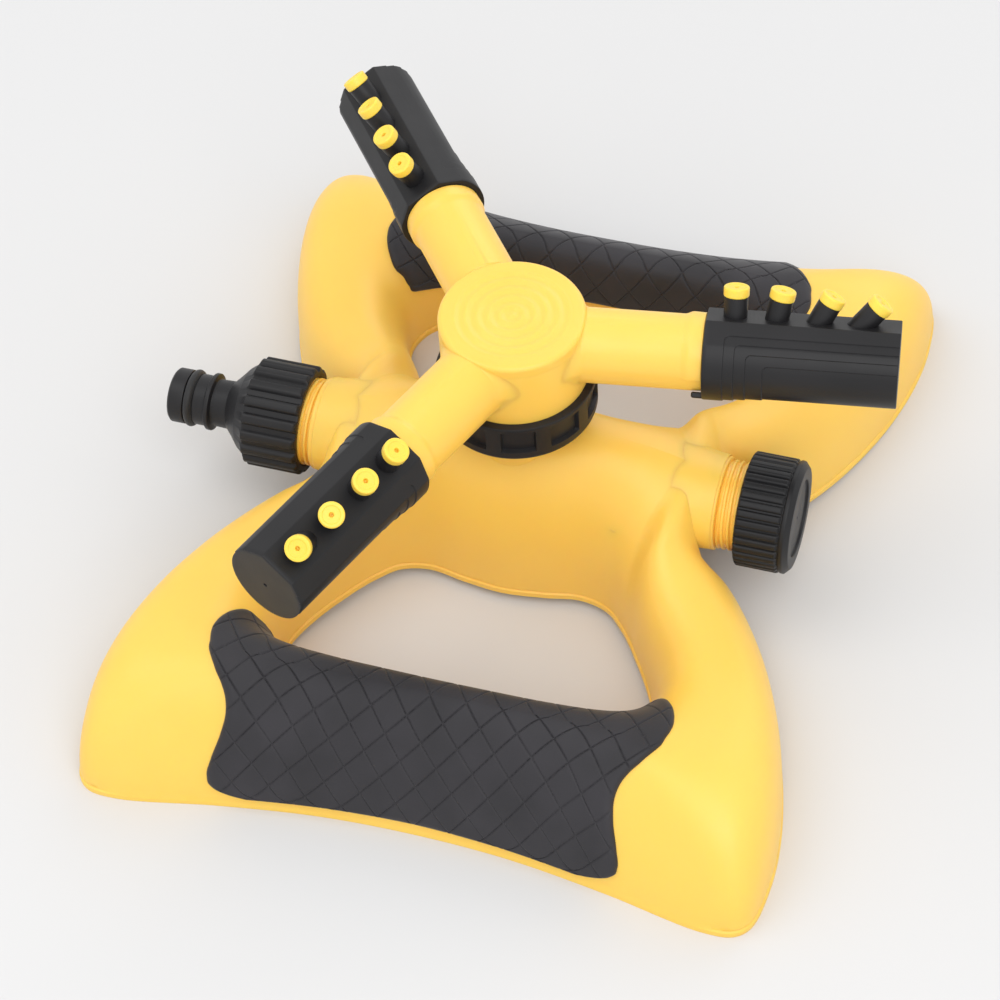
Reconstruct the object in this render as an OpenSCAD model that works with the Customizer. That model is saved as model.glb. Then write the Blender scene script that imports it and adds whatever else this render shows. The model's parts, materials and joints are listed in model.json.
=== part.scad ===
// Three-arm rotating lawn sprinkler on a butterfly base with two carrying bars.
// Millimetres. X runs along the water pipe from the hose inlet (-X) to the end cap (+X),
// Y runs from the front bar to the rear bar, Z is up. The origin is on the ground under the rotor.

/* [Base] */
// Height of the water pipe's axis above the ground
pipe_z = 34; // [33:0.5:35]
// Wall thickness of the moulded base shell
shell_wall = 2.4; // [1.8:0.1:3]
// Rows of facets between two base sections
rows_per_section = 2; // [1:1:4]
// Columns of facets across one base section
section_columns = 10; // [8:2:20]

/* [Grips] */
// Thickness of the soft grip over the carrying bar
grip_t = 1.6; // [1.2:0.1:2.4]
// Clear gap between the grip and the shell under it
grip_gap = 0.4; // [0.2:0.05:0.5]

/* [Water pipe] */
// Thread crest radius of the two spouts, a 3/4 inch hose thread
thread_r = 13.2; // [13:0.05:13.4]
// Depth of the thread
thread_depth = 1.1; // [0.8:0.05:1.2]
// Thread pitch of the two spouts
thread_pitch = 1.814; // [1.6:0.001:2]
// Bore radius of the water pipe
pipe_bore_r = 9.6; // [8:0.2:10.4]
// X of the inlet spout's end face
inlet_end_x = -79.6; // [-80:0.1:-79]
// X of the outlet spout's end face
outlet_end_x = 78.8; // [78.6:0.1:79]
// Radius of the riser collar under the rotor
riser_r = 13.6; // [13:0.1:14]
// Bore radius of the riser
riser_bore_r = 9; // [8:0.1:9.4]

/* [Swivel] */
// Radius of the spindle's journal, which the hub turns on
journal_r = 8; // [7.5:0.1:8.4]
// Bore radius of the spindle
spindle_bore_r = 5.2; // [4.5:0.1:5.6]
// Running clearance of every turning fit, on the radius
run_gap = 0.08; // [0.05:0.01:0.1]
// Gap between turning faces, along the axis
face_gap = 0.15; // [0.1:0.05:0.3]
// Thickness of a slip washer
slip_t = 1; // [0.8:0.1:1.2]

/* [Rotor] */
// Height of the three arms' axes above the ground
arm_z = 88; // [87:0.5:89]
// Height of the hub's top face
hub_top_z = 98.6; // [98:0.2:100]
// Radius of the rotor hub
hub_r = 21; // [20.5:0.1:21.5]
// Outer radius of an arm tube
arm_r = 10.7; // [10.5:0.1:11]
// Bore radius of an arm tube
arm_bore_r = 6.5; // [5:0.1:7]
// Turn of the first arm from +X at rest
arm_azimuth = 8.9; // [0:0.1:30]

/* [Barrels] */
// Distance from the rotor axis to a barrel's inner face
barrel_in = 54.2; // [54:0.1:55]
// Distance from the rotor axis to a barrel's outer face
barrel_out = 108.3; // [107:0.1:109]
// Radius of the barrel's round side
barrel_r = 13; // [12.8:0.1:13.2]
// Distance from the barrel's axis to the flat that carries the nozzles
nozzle_flat = 11.7; // [11.4:0.1:12]
// Tilt of the nozzle row from straight up, about the arm's axis
nozzle_roll = 28; // [0:1:45]
// Radius of a black nozzle stub
stub_r = 3.35; // [3:0.05:3.5]
// Radius of a yellow nozzle tip
tip_r = 3.6; // [3.4:0.05:3.8]
// Radius of a nozzle's spray hole
spray_r = 0.6; // [0.5:0.1:0.8]

/* [Hidden] */
yellow = "gold";
black = "dimgray";
rubber = "darkslategray";
steel = "silver";
cut = 1;                      // overshoot of a cutting solid past the face it cuts
$fn = 64;

// ---- base shell -------------------------------------------------------------------------------
// One quarter of the base (x >= 0, y >= 0) is a strip of arched sections. It starts on the hump over
// the water pipe, runs down one leg, round the corner and ends at the middle of the carrying bar.
// Each row: inner rim x, y; outer end x, y; crown height over the rim; crown place from 0 (inner rim)
// to 1 (outer end); fullness of the inner and outer side (2 = ellipse, more = squarer); height of the
// outer end over the rim; rim height over the ground.
sections = [
    [ 0.0, 24.8,   0.0,   0.0, 51.6, 1.00, 2.3, 2.0, 51.6, 3.0],
    [12.0, 23.6,  14.0,   0.0, 51.6, 1.00, 2.3, 2.0, 51.6, 3.0],
    [23.0, 21.8,  28.0,   0.0, 51.4, 1.00, 2.3, 2.0, 51.4, 3.0],
    [32.0, 24.0,  41.0,   0.0, 49.6, 1.00, 2.3, 2.0, 49.6, 3.0],
    [38.0, 29.5,  52.0,   0.0, 45.9, 1.00, 2.3, 2.0, 45.9, 3.0],
    [42.0, 34.5,  55.0,  12.6, 41.0, 0.74, 2.3, 2.2, 38.2, 3.0],
    [45.0, 39.0,  58.0,  15.2, 37.0, 0.60, 2.4, 2.5, 26.0, 3.0],
    [48.0, 43.5,  63.0,  16.5, 34.0, 0.54, 2.5, 2.6, 10.0, 2.8],
    [50.8, 48.0,  70.0,  20.6, 32.2, 0.50, 2.5, 2.7,  0.0, 2.4],
    [53.5, 53.0,  79.0,  32.0, 31.8, 0.50, 2.5, 2.8,  0.0, 1.8],
    [55.5, 58.0,  87.5,  47.0, 32.2, 0.50, 2.6, 3.0,  0.0, 1.2],
    [56.2, 63.0,  95.0,  66.0, 33.2, 0.49, 2.6, 3.3,  0.0, 0.5],
    [55.0, 68.5,  99.8,  86.0, 34.4, 0.45, 2.8, 3.4,  0.0, 0.0],
    [52.0, 73.0, 101.0, 104.0, 35.0, 0.38, 3.1, 3.0,  0.0, 0.0],
    [47.0, 76.4,  98.0, 119.0, 35.0, 0.27, 3.4, 2.1,  0.0, 0.0],
    [39.0, 78.6,  86.0, 122.0, 35.0, 0.22, 3.5, 1.55,  0.0, 0.0],
    [26.0, 79.8,  57.0, 116.8, 35.0, 0.23, 3.5, 1.4,  0.0, 0.0],
    [13.0, 80.3,  28.0, 112.9, 35.0, 0.24, 3.5, 1.4,  0.0, 0.0],
    [ 0.0, 80.4,   0.0, 111.8, 35.0, 0.25, 3.5, 1.4,  0.0, 0.0]];
last_section = len(sections) - 1;
last_row = last_section * rows_per_section;
arch_row = 4 * rows_per_section;        // the last row whose outer end lies on the y = 0 plane

// The table continued past both ends by mirror symmetry: x and no other value changes sign
function table_value(n, k) =
    let (m = abs(n), r = m > last_section ? 2 * last_section - m : m, across = n < 0 || n > last_section)
    (across && (k == 0 || k == 2) ? -1 : 1) * sections[r][k];
function blend4(a, b, c, d, t) =
    0.5 * (2 * b + (c - a) * t + (2 * a - 5 * b + 4 * c - d) * t * t + (3 * b - a - 3 * c + d) * t * t * t);
// Value k at row i, on a smooth curve through the table's rows
function section_value(i, k) =
    let (n = floor(i / rows_per_section), t = i / rows_per_section - n)
    blend4(table_value(n - 1, k), table_value(n, k), table_value(n + 1, k), table_value(n + 2, k), t);
function limit(v, low, high) = max(low, min(high, v));
function arch_cos(a, fullness) = pow(abs(cos(a)), 2 / fullness);
function arch_sin(a, fullness) = pow(abs(sin(a)), 2 / fullness);

// A point of the shell at row i and part v of the way across (0 inner rim, 1 outer end),
// moved by t inside the outer skin
function shell_point(i, v, t) =
    let (on_axis = i <= arch_row,
         inner = [section_value(i, 0), section_value(i, 1)],
         outer = [section_value(i, 2), on_axis ? 0 : max(0, section_value(i, 3))],
         height = section_value(i, 4),
         crown = on_axis ? 1 : limit(section_value(i, 5), 0, 0.98),
         end_share = limit(section_value(i, 8) / height, 0, 1),
         side_out = section_value(i, 7),
         end_angle = on_axis ? 90 : 180 - asin(pow(end_share, side_out / 2)),
         a = end_angle * v,
         rising = a <= 90,
         side = rising ? section_value(i, 6) : side_out,
         c = arch_cos(a, side),
         reach = rising ? 1 : arch_cos(end_angle, side_out),
         inset = t / norm(outer - inner) * c,
         q = rising ? crown * (1 - c) + inset : crown + (1 - crown) * c / reach - inset,
         p = inner + (outer - inner) * q)
    [p.x, (on_axis && v == 1) ? 0 : p.y, max(0, section_value(i, 9)) + (height - t) * arch_sin(a, side)];

function mirrored(p, q) = [p.x * (q % 2 == 0 ? 1 : -1), p.y * (q < 2 ? 1 : -1), p.z];
per_layer = (last_row + 1) * (section_columns + 1);
// Rows on the x = 0 plane and the crown line on the y = 0 plane are shared between quarters
function vertex(q, layer, i, j) =
    let (qx = (i == 0 || i == last_row) ? q - q % 2 : q,
         qq = (j == section_columns && i <= arch_row) ? qx % 2 : qx)
    (qq * 2 + layer) * per_layer + i * (section_columns + 1) + j;
function wind(face, turned) = turned ? [for (k = [len(face) - 1 : -1 : 0]) face[k]] : face;
function quad(a, b, c, d, turned) = [wind([a, b, c], turned), wind([a, c, d], turned)];

module shell_body() {
    points = [for (q = [0 : 3], layer = [0 : 1], i = [0 : last_row], j = [0 : section_columns])
        mirrored(shell_point(i, j / section_columns, layer * shell_wall), q)];
    skins = [for (q = [0 : 3], layer = [0 : 1], i = [0 : last_row - 1], j = [0 : section_columns - 1])
        each quad(vertex(q, layer, i, j), vertex(q, layer, i, j + 1), vertex(q, layer, i + 1, j + 1),
                  vertex(q, layer, i + 1, j), (layer == 0) != (q == 1 || q == 2))];
    rims = [for (q = [0 : 3], i = [0 : last_row - 1], side = [0 : 1])
        let (j = side * section_columns)
        if (side == 0 || i >= arch_row)
        each quad(vertex(q, 0, i, j), vertex(q, 0, i + 1, j), vertex(q, 1, i + 1, j),
                  vertex(q, 1, i, j), (side == 0) != (q == 1 || q == 2))];
    polyhedron(points, concat(skins, rims), convexity = 6);
}

module base_shell() color(yellow) difference() {
    union() {
        shell_body();
        for (p = screw_spots) translate([p.x, p.y, lug_top_z]) cylinder(r = boss_r, h = boss_top_z - lug_top_z);
    }
    translate([0, 0, pipe_z]) cylinder(r = riser_r + pipe_gap, h = riser_top_z);
    on_pipe(pipe_r + pipe_gap, inlet_end_x, outlet_end_x);
    for (p = screw_spots) translate([p.x, p.y, lug_top_z - cut]) cylinder(r = screw_r, h = screw_len);
}

// ---- grips ------------------------------------------------------------------------------------
// A grip lies on the bar between two wavy side edges. Half width of the grip at each step across,
// from the tips at the hand opening, over the waist, to the lower corners at the outer rim
grip_rows = [for (v = [0.12 : 0.0457 : 0.943]) v];
grip_half = [46, 52, 56, 59.5, 61.5, 63.5, 65.5, 67, 67, 65, 62.5, 59.5, 57.5, 57, 57.5, 59, 60.5, 60, 57];
grip_columns = 28;

// The shell's skin near the bar as a function of x: the row is found from the outer and inner curves
function bar_row(x, v, low, high, n) =
    n == 0 ? (low + high) / 2 :
    let (mid = (low + high) / 2)
    shell_point(mid, v, 0).x > x ? bar_row(x, v, mid, high, n - 1) : bar_row(x, v, low, mid, n - 1);
function skin_normal(i, v) =
    let (e = 0.02, d = shell_point(i + e, v, 0) - shell_point(i - e, v, 0),
         w = shell_point(i, v + e / 4, 0) - shell_point(i, v - e / 4, 0), n = cross(w, d))
    n / norm(n) * (n.z < 0 ? -1 : 1);
function grip_point(k, m, lift) =
    let (v = grip_rows[k], x = abs(grip_half[k] * (2 * m / grip_columns - 1)),
         i = min(last_row - 0.03, bar_row(x, v, 11 * rows_per_section, last_row, 14)),
         p = shell_point(i, v, 0) + skin_normal(i, v) * lift)
    [p.x * (m * 2 < grip_columns ? -1 : 1), p.y, p.z];
module grip_body() {
    rows = len(grip_rows);
    cols = grip_columns + 1;
    points = [for (layer = [grip_gap, grip_gap + grip_t], k = [0 : rows - 1], m = [0 : grip_columns])
        grip_point(k, m, layer)];
    function id(layer, k, m) = (layer * rows + k) * cols + m;
    faces = concat(
        [for (layer = [0 : 1], k = [0 : rows - 2], m = [0 : grip_columns - 1])
            each quad(id(layer, k, m), id(layer, k, m + 1), id(layer, k + 1, m + 1), id(layer, k + 1, m),
                      layer == 1)],
        [for (k = [0 : rows - 2], side = [0 : 1])
            let (m = side * grip_columns)
            each quad(id(0, k, m), id(0, k + 1, m), id(1, k + 1, m), id(1, k, m), side == 1)],
        [for (m = [0 : grip_columns - 1], side = [0 : 1])
            let (k = side * (rows - 1))
            each quad(id(0, k, m), id(0, k, m + 1), id(1, k, m + 1), id(1, k, m), side == 0)]);
    polyhedron(points, faces, convexity = 4);
}
module rear_grip() color(black) grip_body();
module front_grip() color(black) mirror([0, 1, 0]) grip_body();

// ---- water pipe -------------------------------------------------------------------------------
pipe_r = 13.9;                            // plain part of the pipe
pipe_gap = 0.4;                           // between the water pipe and the shell
riser_top_z = 61;                         // top of the riser, under the spindle's gasket
thread_len = 14.5;                        // length of thread on each spout
collar_r = 15;                            // conical collar under the ring nut
collar_low_z = 55;
lug_top_z = 24;                           // top of the lugs that the shell's bosses stand on
lug_t = 4;
lug_w = 7.6;
boss_r = 3.2;
boss_top_z = 35;
screw_r = 1.7;                            // shank radius of a tee screw
screw_head_r = 3.2;
screw_head_t = 2.2;
screw_len = 9;                            // shank length above the lug
screw_spots = [for (x = [-34, 34], y = [-16.4, 16.4]) [x, y]];

// A male thread as parallel rings, from x = 0 out to x = thread_len
module thread_rings() {
    turns = floor(thread_len / thread_pitch);
    root_r = thread_r - thread_depth;
    ring = [[root_r, 0.1], [thread_r, 0.42], [thread_r, 0.68], [root_r, 0.98]];
    profile = concat([[0, -cut], [root_r, -cut]],
        [for (n = [0 : turns - 1], p = ring) [p.x, (n + p.y) * thread_pitch]],
        [[root_r, thread_len], [0, thread_len]]);
    rotate([0, 90, 0]) rotate_extrude() polygon(profile);
}
// A cylinder along the water pipe's axis between two places on X
module on_pipe(r, from, to) translate([from, 0, pipe_z]) rotate([0, 90, 0]) cylinder(r = r, h = to - from);
// A ring about the water pipe's axis
module pipe_ring(outer, inner, from, to) difference() {
    on_pipe(outer, from, to);
    on_pipe(inner, from - cut, to + cut);
}

module water_tee() color(yellow) difference() {
    union() {
        on_pipe(pipe_r, inlet_end_x + thread_len, outlet_end_x - thread_len);
        translate([outlet_end_x - thread_len, 0, pipe_z]) thread_rings();
        translate([inlet_end_x + thread_len, 0, pipe_z]) mirror([1, 0, 0]) thread_rings();
        translate([0, 0, pipe_z]) cylinder(r = riser_r, h = riser_top_z - pipe_z);
        translate([0, 0, collar_low_z]) cylinder(r1 = riser_r, r2 = collar_r, h = riser_top_z - collar_low_z);
        for (p = screw_spots) translate([p.x - lug_w / 2, min(0, p.y), lug_top_z - lug_t])
            cube([lug_w, abs(p.y), lug_t]);
        for (p = screw_spots) translate([p.x, p.y, lug_top_z - lug_t]) cylinder(r = lug_w / 2, h = lug_t);
    }
    on_pipe(pipe_bore_r, inlet_end_x - cut, outlet_end_x + cut);
    translate([0, 0, pipe_z]) cylinder(r = riser_bore_r, h = riser_top_z - pipe_z + cut);
    for (p = screw_spots) translate([p.x, p.y, 0]) cylinder(r = screw_r, h = pipe_z);
}
module tee_screws() color(steel) for (p = screw_spots) translate([p.x, p.y, lug_top_z - lug_t]) {
    translate([0, 0, -screw_head_t]) cylinder(r = screw_head_r, h = screw_head_t);
    cylinder(r = screw_r, h = lug_t + screw_len - cut);
}

// ---- swivel: the fixed spindle and the ring nut that holds the rotor on it --------------------
module ring_z(outer, inner, low, high) translate([0, 0, low]) difference() {
    cylinder(r = outer, h = high - low);
    translate([0, 0, -cut]) cylinder(r = inner, h = high - low + 2 * cut);
}
gasket_t = 1;
neck_r = 12.4;                            // spindle between the gasket and the flange
flange_r = 16.5;
flange_t = 3;
nut_low_z = 63;
nut_lip_t = 2.2;
nut_top_z = 75.6;
flange_z = nut_low_z + nut_lip_t + slip_t + face_gap;
slip_seat_z = flange_z + flange_t + face_gap + slip_t;   // the hub's face over the upper slip washer
journal_top_z = 82;
bush_top_z = 81;                          // top of the hub's bushing, where its water chamber starts
press_gap = 0.03;                         // between glued or screwed pieces that fill each other
stub_low_z = 52;                          // lower end of the spindle's stub inside the riser
ring_groove_z = 76;
ring_section_r = 0.8;
ring_mid_r = journal_r - ring_section_r;

module spindle() color(black) difference() {
    union() {
        translate([0, 0, stub_low_z]) cylinder(r = riser_bore_r - press_gap, h = flange_z - stub_low_z);
        translate([0, 0, riser_top_z + gasket_t]) cylinder(r = neck_r, h = flange_z - riser_top_z - gasket_t);
        translate([0, 0, flange_z]) cylinder(r = flange_r, h = flange_t);
        translate([0, 0, flange_z]) cylinder(r = journal_r, h = journal_top_z - flange_z);
    }
    translate([0, 0, stub_low_z - cut]) cylinder(r = spindle_bore_r, h = journal_top_z - stub_low_z + 2 * cut);
    ring_z(journal_r + cut, ring_mid_r - ring_section_r, ring_groove_z - ring_section_r - 0.1,
           ring_groove_z + ring_section_r + 0.1);
}
module spindle_gasket() color(rubber) ring_z(neck_r, riser_bore_r, riser_top_z, riser_top_z + gasket_t);
module spindle_o_ring() color(rubber) translate([0, 0, ring_groove_z])
    rotate_extrude() translate([ring_mid_r, 0]) circle(r = ring_section_r);
module lower_slip_washer() color("white")
    ring_z(flange_r, neck_r + 1, nut_low_z + nut_lip_t, nut_low_z + nut_lip_t + slip_t);
module upper_slip_washer() color("white")
    ring_z(flange_r, journal_r + 0.5, slip_seat_z - slip_t, slip_seat_z);

nut_r = 23.2;
nut_thread_r = 19.4;
nut_pockets = 10;
pocket_w = 9;
pocket_depth = 1.3;
module rotor_nut() color(black) difference() {
    translate([0, 0, nut_low_z]) cylinder(r = nut_r, h = nut_top_z - nut_low_z);
    translate([0, 0, nut_low_z + nut_lip_t]) cylinder(r = nut_thread_r, h = nut_top_z);
    translate([0, 0, nut_low_z - cut]) cylinder(r = neck_r + 1, h = nut_lip_t + 2 * cut);
    for (n = [0 : nut_pockets - 1]) rotate(360 / nut_pockets * n)
        translate([nut_r - pocket_depth, -pocket_w / 2, nut_low_z + 3])
            cube([nut_r, pocket_w, nut_top_z - nut_low_z - 5]);
}

// ---- rotor ------------------------------------------------------------------------------------
cap_seat_z = 94.8;                        // joint between the hub and its welded cap
chamber_r = 17;
skirt_low_z = 67;
flange_x = 50.9;                          // where an arm's end flange starts
flange_end_x = barrel_in - face_gap;
arm_flange_r = 11.5;
flange_cone = 2.6;
tab_gap = 116;                            // part of the flange left out for the barrel's tab
tab_gap_turn = 144;
spigot_r = 9.4;                           // the arm's end inside the barrel
spigot_end_x = 61.8;
arm_ring_x = 57;
arm_ring_r = 0.85;
bead_r = 9.9;                             // snap bead that holds the barrel on the spigot
bead_low_x = 58.8;
bead_high_x = 60.3;
dog_len = 2.6;                            // stop dog on the spigot's end
dog_angle = 40;
swivel_forward = 58;                      // travel of a barrel about its arm from rest, each way
swivel_back = 32;
arm_turns = [for (k = [0 : 2]) arm_azimuth + 120 * k];

// A cylinder along an arm's axis between two distances from the rotor's axis
module on_arm(r, from, to) translate([from, 0, 0]) rotate([0, 90, 0]) cylinder(r = r, h = to - from);
module arm_ring(outer, inner, from, to) difference() {
    on_arm(outer, from, to);
    on_arm(inner, from - cut, to + cut);
}
module arm_frame(k) rotate(arm_turns[k]) translate([0, 0, arm_z]) children();
// A sector of a tube about the arm's axis: centred on the arm frame's +Z, then turned about the axis
module arm_sector(outer, inner, from, to, span, turn) translate([from, 0, 0]) rotate([turn, 0, 0])
    rotate([0, 90, 0]) rotate(180 - span / 2) rotate_extrude(angle = span)
        translate([inner, 0]) square([outer - inner, to - from]);

// Flange at an arm's end, with a gap for the sweep of the barrel's tab
module arm_flange() difference() {
    union() {
        on_arm(arm_flange_r, flange_x, flange_end_x);
        translate([flange_x - flange_cone, 0, 0]) rotate([0, 90, 0])
            cylinder(r1 = arm_r - 0.1, r2 = arm_flange_r, h = flange_cone);
    }
    arm_sector(arm_flange_r + 1, arm_r - 1, flange_x - flange_cone - cut, flange_end_x + cut,
               tab_gap, tab_gap_turn);
}
module rotor_hub() color(yellow) difference() {
    union() {
        translate([0, 0, skirt_low_z])
            cylinder(r = nut_thread_r - press_gap, h = nut_top_z - skirt_low_z + cut);
        translate([0, 0, nut_top_z + 0.1]) cylinder(r = hub_r, h = cap_seat_z - nut_top_z - 0.1);
        for (k = [0 : 2]) arm_frame(k) {
            on_arm(arm_r, chamber_r + 1, flange_end_x);
            arm_flange();
            on_arm(spigot_r, flange_x, spigot_end_x);
            on_arm(bead_r, bead_low_x, bead_high_x);
            arm_sector(arm_bore_r + 1.6, arm_bore_r + 0.2, spigot_end_x - cut, spigot_end_x + dog_len,
                       dog_angle, -nozzle_roll + 180);
        }
    }
    translate([0, 0, bush_top_z]) cylinder(r = chamber_r, h = cap_seat_z - bush_top_z + cut);
    translate([0, 0, cap_seat_z]) cylinder(r = hub_r + 0.05, h = 2 * arm_r);
    translate([0, 0, slip_seat_z - cut])
        cylinder(r = journal_r + run_gap, h = bush_top_z - slip_seat_z + 2 * cut);
    translate([0, 0, skirt_low_z - cut]) cylinder(r = flange_r + 0.5, h = slip_seat_z - skirt_low_z + cut);
    for (k = [0 : 2]) arm_frame(k) {
        on_arm(arm_bore_r, chamber_r - 3, spigot_end_x + dog_len + cut);
        arm_ring(spigot_r + 0.2, spigot_r - 2 * arm_ring_r, arm_ring_x - arm_ring_r - 0.1,
                 arm_ring_x + arm_ring_r + 0.1);
    }
}

// Height of the cap's ripples at radius r: a row of soft rings that fades out at the centre
ripple_pitch = 3.3;
ripple_h = 0.22;
function ripple(r) = r > 19 ? 0 : ripple_h * (cos(360 * r / ripple_pitch) - 1);
cap_round = 1.6;
module hub_cap() color(yellow) union() {
    ring_z(chamber_r - 0.05, chamber_r - 2, cap_seat_z - 3, cap_seat_z + 0.1);
    rotate_extrude() polygon(concat([[0, cap_seat_z]], [[hub_r, cap_seat_z], [hub_r, hub_top_z - cap_round]],
        [for (a = [15 : 15 : 90]) [hub_r - cap_round * (1 - cos(a)), hub_top_z - cap_round * (1 - sin(a))]],
        [for (r = [19 : -ripple_pitch / 8 : 0]) [r, hub_top_z + ripple(r)]], [[0, hub_top_z]]));
}

module arm_o_ring(k) color(rubber) arm_frame(k) translate([arm_ring_x, 0, 0]) rotate([0, 90, 0])
    rotate_extrude() translate([spigot_r - arm_ring_r, 0]) circle(r = arm_ring_r);

// ---- barrels and nozzles ----------------------------------------------------------------------
barrel_bore_r = spigot_r + run_gap;
barrel_chamber_r = 8.4;
barrel_seat_x = 62.2;
barrel_end_t = 2.6;
shoulder_flat = 12.4;                     // distance of the flats beside the nozzle flat
shoulder_turn = 42;
stop_low_r = arm_bore_r + 0.2;
nozzle_places = [7.9, 19.5, 31.3, 43.2];  // from the barrel's inner face
nozzle_tilts = [0, 10, 26, 39];           // outward lean of each nozzle
stub_len = 5.8;
peg_r = 2.4;                              // peg on the stub, inside the tip
peg_len = 1.8;
tip_len = 2.9;
channel_r = 1.2;
channel_depth = 6;                        // from the nozzle flat into the barrel
terrace_starts = [5.8, 8.8, 12, 16.8];     // shallow nested steps on the round side, from the inner face
terrace_step = 0.3;
terrace_spans = [270, 246, 222, 194];     // angle that each of them covers
tab_len = 3;
tab_turn = 158;

module barrel_frame(k) arm_frame(k) rotate([-nozzle_roll, 0, 0]) children();
module nozzle_frame(n) translate([barrel_in + nozzle_places[n], 0, nozzle_flat])
    rotate([0, nozzle_tilts[n], 0]) children();
module flat_side(distance, turn) rotate([turn, 0, 0]) translate([barrel_in - cut, -barrel_r, distance])
    cube([barrel_out - barrel_in + 2 * cut, 2 * barrel_r, barrel_r]);

module arm_barrel(k) color(black) barrel_frame(k) difference() {
    union() {
        difference() {
            on_arm(barrel_r, barrel_in, barrel_out);
            flat_side(nozzle_flat, 0);
            for (turn = [-shoulder_turn, shoulder_turn]) flat_side(shoulder_flat, turn);
            for (n = [0 : len(terrace_starts) - 1])
                arm_sector(barrel_r + cut, barrel_r - terrace_step * (n + 1), barrel_in + terrace_starts[n],
                           barrel_out + cut, terrace_spans[n], 180);
        }
        arm_sector(barrel_r, arm_r + 0.3, barrel_in - tab_len, barrel_in + cut, 22, tab_turn);
        for (n = [0 : 3]) nozzle_frame(n) {
            translate([0, 0, -stub_r]) cylinder(r = stub_r, h = stub_r + stub_len);
            cylinder(r = peg_r, h = stub_len + peg_len);
        }
    }
    on_arm(barrel_bore_r, barrel_in - cut, barrel_seat_x);
    on_arm(bead_r + 0.2, bead_low_x - 0.2, bead_high_x + 0.3);
    difference() {
        on_arm(barrel_chamber_r, barrel_seat_x - cut, barrel_out - barrel_end_t);
        arm_sector(barrel_chamber_r + cut, stop_low_r, barrel_seat_x - 2 * cut, barrel_seat_x + 3,
                   360 - dog_angle - swivel_forward - swivel_back - 4, (swivel_back - swivel_forward) / 2);
    }
    for (n = [0 : 3]) nozzle_frame(n) translate([0, 0, -channel_depth])
        cylinder(r = channel_r, h = channel_depth + stub_len + peg_len + cut);
}
module nozzle(k, n) color(yellow) barrel_frame(k) nozzle_frame(n) translate([0, 0, stub_len]) difference() {
    rotate_extrude() polygon([[0, 0], [tip_r, 0], [tip_r, tip_len - 0.8], [tip_r - 0.25, tip_len - 0.25],
                              [tip_r - 0.8, tip_len], [0, tip_len]]);
    translate([0, 0, -cut]) cylinder(r = peg_r, h = peg_len + cut);
    cylinder(r = spray_r, h = tip_len + cut);
}

// ---- hose connector ---------------------------------------------------------------------------
nut_open_x = -65.4;
ribbed_end_x = -82.6;
washer_t = 1.6;
female_r = thread_r + 0.1;
seat_x = inlet_end_x - washer_t;
nipple_tip_x = -109;
nipple_bore_r = 4.6;
nipple_r = 8.25;
groove_low_x = -104;
groove_high_x = -101.2;
groove_r = 6.2;
inlet_ring_r = 1.25;
inlet_ribs = 18;
rib_r = 16.5;
rib_core_r = 15.4;
rib_w = 3.2;
// Outline of the connector: [radius, x]
connector_outline = [
    [0, nut_open_x], [rib_core_r + 0.3, nut_open_x], [rib_core_r + 0.3, nut_open_x - 1.2],
    [rib_core_r, nut_open_x - 1.6], [rib_core_r, ribbed_end_x], [14.4, -83.4], [12.6, -85.8], [9.6, -88.4],
    [7.2, -90.6], [7.1, -95.4], [8.7, -95.9], [8.7, -97.1], [7.7, -97.5], [7.7, groove_high_x],
    [groove_r, groove_high_x], [groove_r, groove_low_x], [nipple_r, groove_low_x],
    [nipple_r, nipple_tip_x + 1], [nipple_r - 1, nipple_tip_x], [0, nipple_tip_x]];
module inlet_connector() color(black) translate([0, 0, pipe_z]) difference() {
    union() {
        rotate([0, 90, 0]) rotate_extrude() polygon(connector_outline);
        for (n = [0 : inlet_ribs - 1]) rotate([360 / inlet_ribs * n, 0, 0])
            translate([ribbed_end_x, -rib_w / 2, rib_core_r - 1])
                cube([nut_open_x - 1.6 - ribbed_end_x, rib_w, rib_r - rib_core_r + 1]);
    }
    on_arm(female_r, seat_x, nut_open_x + cut);
    on_arm(nipple_bore_r, nipple_tip_x - cut, nut_open_x);
}
module inlet_o_ring() color(rubber) translate([(groove_low_x + groove_high_x) / 2, 0, pipe_z])
    rotate([0, 90, 0]) rotate_extrude() translate([groove_r + inlet_ring_r, 0]) circle(r = inlet_ring_r);
module inlet_washer() color(rubber) pipe_ring(female_r - 0.1, pipe_bore_r - 0.4, seat_x, inlet_end_x);
filter_t = 1.2;
filter_hole_r = 0.9;
filter_rings = [[1, 0], [6, 3.2], [12, 6.4]];         // [number of holes, radius of the ring]
module inlet_filter() color(steel) difference() {
    on_pipe(pipe_bore_r - 0.4, seat_x, seat_x + filter_t);
    for (ring = filter_rings, n = [0 : ring[0] - 1])
        translate([0, ring[1] * cos(360 * n / ring[0]), ring[1] * sin(360 * n / ring[0])])
            on_pipe(filter_hole_r, seat_x - cut, seat_x + filter_t + cut);
}

// ---- end cap ----------------------------------------------------------------------------------
cap_low_x = 67.7;
cap_high_x = 83.9;
cap_washer_t = 1.8;
cap_core_r = 16.2;
cap_rib_r = 0.75;
cap_rib_mid_r = 16.15;
cap_ribs = 36;
cap_band = 2.5;                           // plain band beside the end face
cap_band_r = 16.6;
cap_dish_r = 11.4;
cap_dish_t = 0.8;
cap_edge = 1.8;                           // bevel of the end face
cap_seat_x = outlet_end_x + cap_washer_t;
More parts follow.
